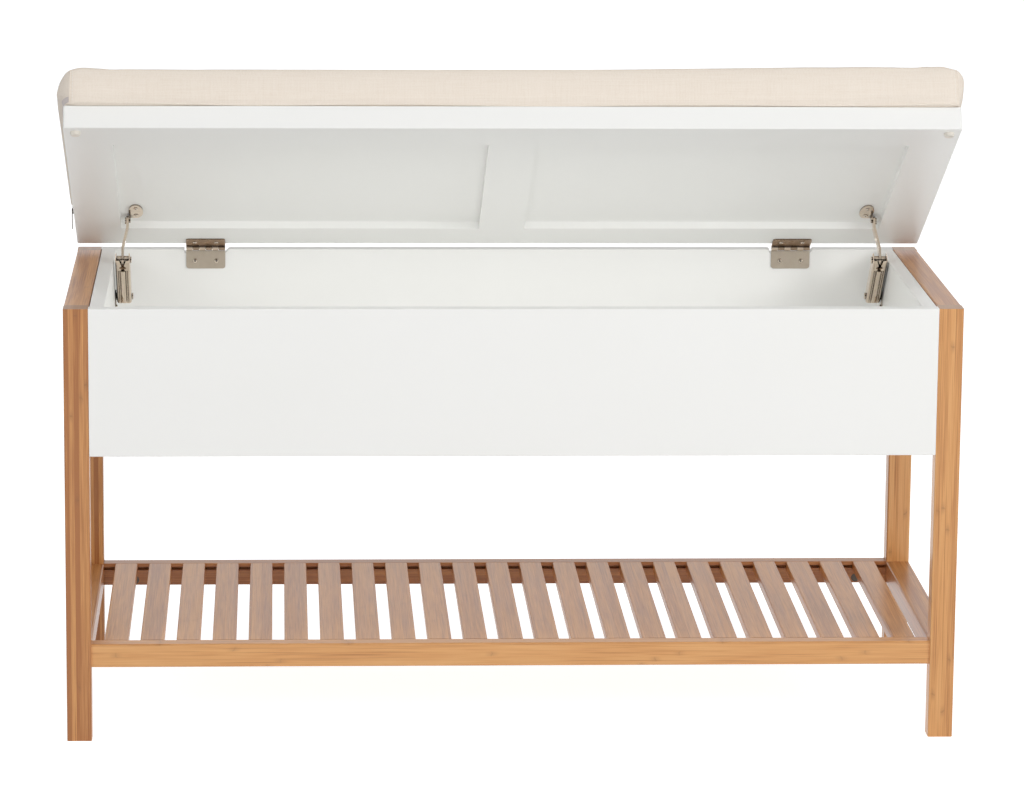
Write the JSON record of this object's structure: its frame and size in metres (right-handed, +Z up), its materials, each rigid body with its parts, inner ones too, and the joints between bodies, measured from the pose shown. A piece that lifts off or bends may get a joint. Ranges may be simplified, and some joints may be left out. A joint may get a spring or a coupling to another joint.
{
  "type": "shoe storage bench",
  "caption": "Bamboo-framed bench with a white storage box under a hinged, cushioned lid held by folding stays, above an open slatted shoe shelf.",
  "frame": {"origin": "on the floor, under the middle of the four legs", "axes": "+X to the right as seen from the front, +Y to the rear, +Z up"},
  "size_m": [0.9064, 0.3797, 0.6764],
  "materials": {
    "bamboo": "clear satin lacquer",
    "white_paint": "satin white paint on fibreboard",
    "nickel_plate": "nickel plate",
    "zinc_plate": "bright zinc plate",
    "linen": "plain weave over foam",
    "silicone": "clear soft pad",
    "zip_metal": "worn nickel"
  },
  "bodies": {
    "bench": {"front_leg_left": "bamboo", "rear_leg_left": "bamboo", "top_rail_left": "bamboo", "shelf_side_rail_left": "bamboo", "front_leg_right": "bamboo", "rear_leg_right": "bamboo", "top_rail_right": "bamboo", "shelf_side_rail_right": "bamboo", "shelf_front_rail": "bamboo", "shelf_rear_rail": "bamboo", "shelf_slat_01": "bamboo", "shelf_slat_02": "bamboo", "shelf_slat_03": "bamboo", "shelf_slat_04": "bamboo", "shelf_slat_05": "bamboo", "shelf_slat_06": "bamboo", "shelf_slat_07": "bamboo", "shelf_slat_08": "bamboo", "shelf_slat_09": "bamboo", "shelf_slat_10": "bamboo", "shelf_slat_11": "bamboo", "shelf_slat_12": "bamboo", "shelf_slat_13": "bamboo", "shelf_slat_14": "bamboo", "shelf_slat_15": "bamboo", "shelf_slat_16": "bamboo", "shelf_slat_17": "bamboo", "shelf_slat_18": "bamboo", "shelf_slat_19": "bamboo", "shelf_slat_20": "bamboo", "shelf_slat_21": "bamboo", "shelf_slat_22": "bamboo", "shelf_slat_23": "bamboo", "front_panel": "white_paint", "back_panel": "white_paint", "left_panel": "white_paint", "right_panel": "white_paint", "bottom_panel": "white_paint", "hinge_box_leaf_left": "nickel_plate", "hinge_box_leaf_right": "nickel_plate", "hinge_pins": "zinc_plate", "box_screws": "zinc_plate", "stay_wall_bracket_left": "nickel_plate", "stay_wall_bracket_right": "nickel_plate", "barrel_nuts": "zinc_plate", "shelf_bolts": "zinc_plate"},
    "lid": {"lid_board": "white_paint", "lid_frame": "white_paint", "cushion": "linen", "hinge_lid_leaf_left": "nickel_plate", "hinge_lid_leaf_right": "nickel_plate", "lid_screws": "zinc_plate", "stay_lid_bracket_left": "nickel_plate", "stay_lid_bracket_right": "nickel_plate", "lid_bumpers": "silicone"},
    "left_stay_body": {"stay_body_left": "nickel_plate"},
    "right_stay_body": {"stay_body_right": "nickel_plate"},
    "left_stay_arm": {"stay_arm_left": "nickel_plate"},
    "right_stay_arm": {"stay_arm_right": "nickel_plate"},
    "zip_slider": {"zip_slider": "zip_metal"}
  },
  "joints": [
    {"name": "lid_hinge", "type": "hinge", "parent": "bench", "child": "lid", "pos_m": [0, 0.168, 0.446], "axis": [-1, 0, 0], "range_deg": [-29, 2]},
    {"name": "left_stay_body_pivot", "type": "hinge", "parent": "bench", "child": "left_stay_body", "pos_m": [-0.3995, 0.1348, 0.3992], "axis": [-1, 0, 0], "range_deg": [-33, 2.4]},
    {"name": "left_stay_arm_pivot", "type": "hinge", "parent": "lid", "child": "left_stay_arm", "pos_m": [-0.39455, 0.10419, 0.48537], "axis": [-1, 0, 0], "range_deg": [-2.5, 34.6]},
    {"name": "right_stay_body_pivot", "type": "hinge", "parent": "bench", "child": "right_stay_body", "pos_m": [0.3995, 0.1348, 0.3992], "axis": [-1, 0, 0], "range_deg": [-33, 2.4]},
    {"name": "right_stay_arm_pivot", "type": "hinge", "parent": "lid", "child": "right_stay_arm", "pos_m": [0.39455, 0.10419, 0.48537], "axis": [-1, 0, 0], "range_deg": [-2.5, 34.6]},
    {"name": "zip_slide", "type": "slide", "parent": "lid", "child": "zip_slider", "axis": [0, -0.8746, 0.4848], "range_m": [0, 0.295]}
  ],
  "couplings": [
    {"joint": "left_stay_body_pivot", "follows": "lid_hinge", "ratio": 1.131},
    {"joint": "left_stay_arm_pivot", "follows": "lid_hinge", "ratio": -1.187},
    {"joint": "right_stay_body_pivot", "follows": "lid_hinge", "ratio": 1.131},
    {"joint": "right_stay_arm_pivot", "follows": "lid_hinge", "ratio": -1.187}
  ]
}
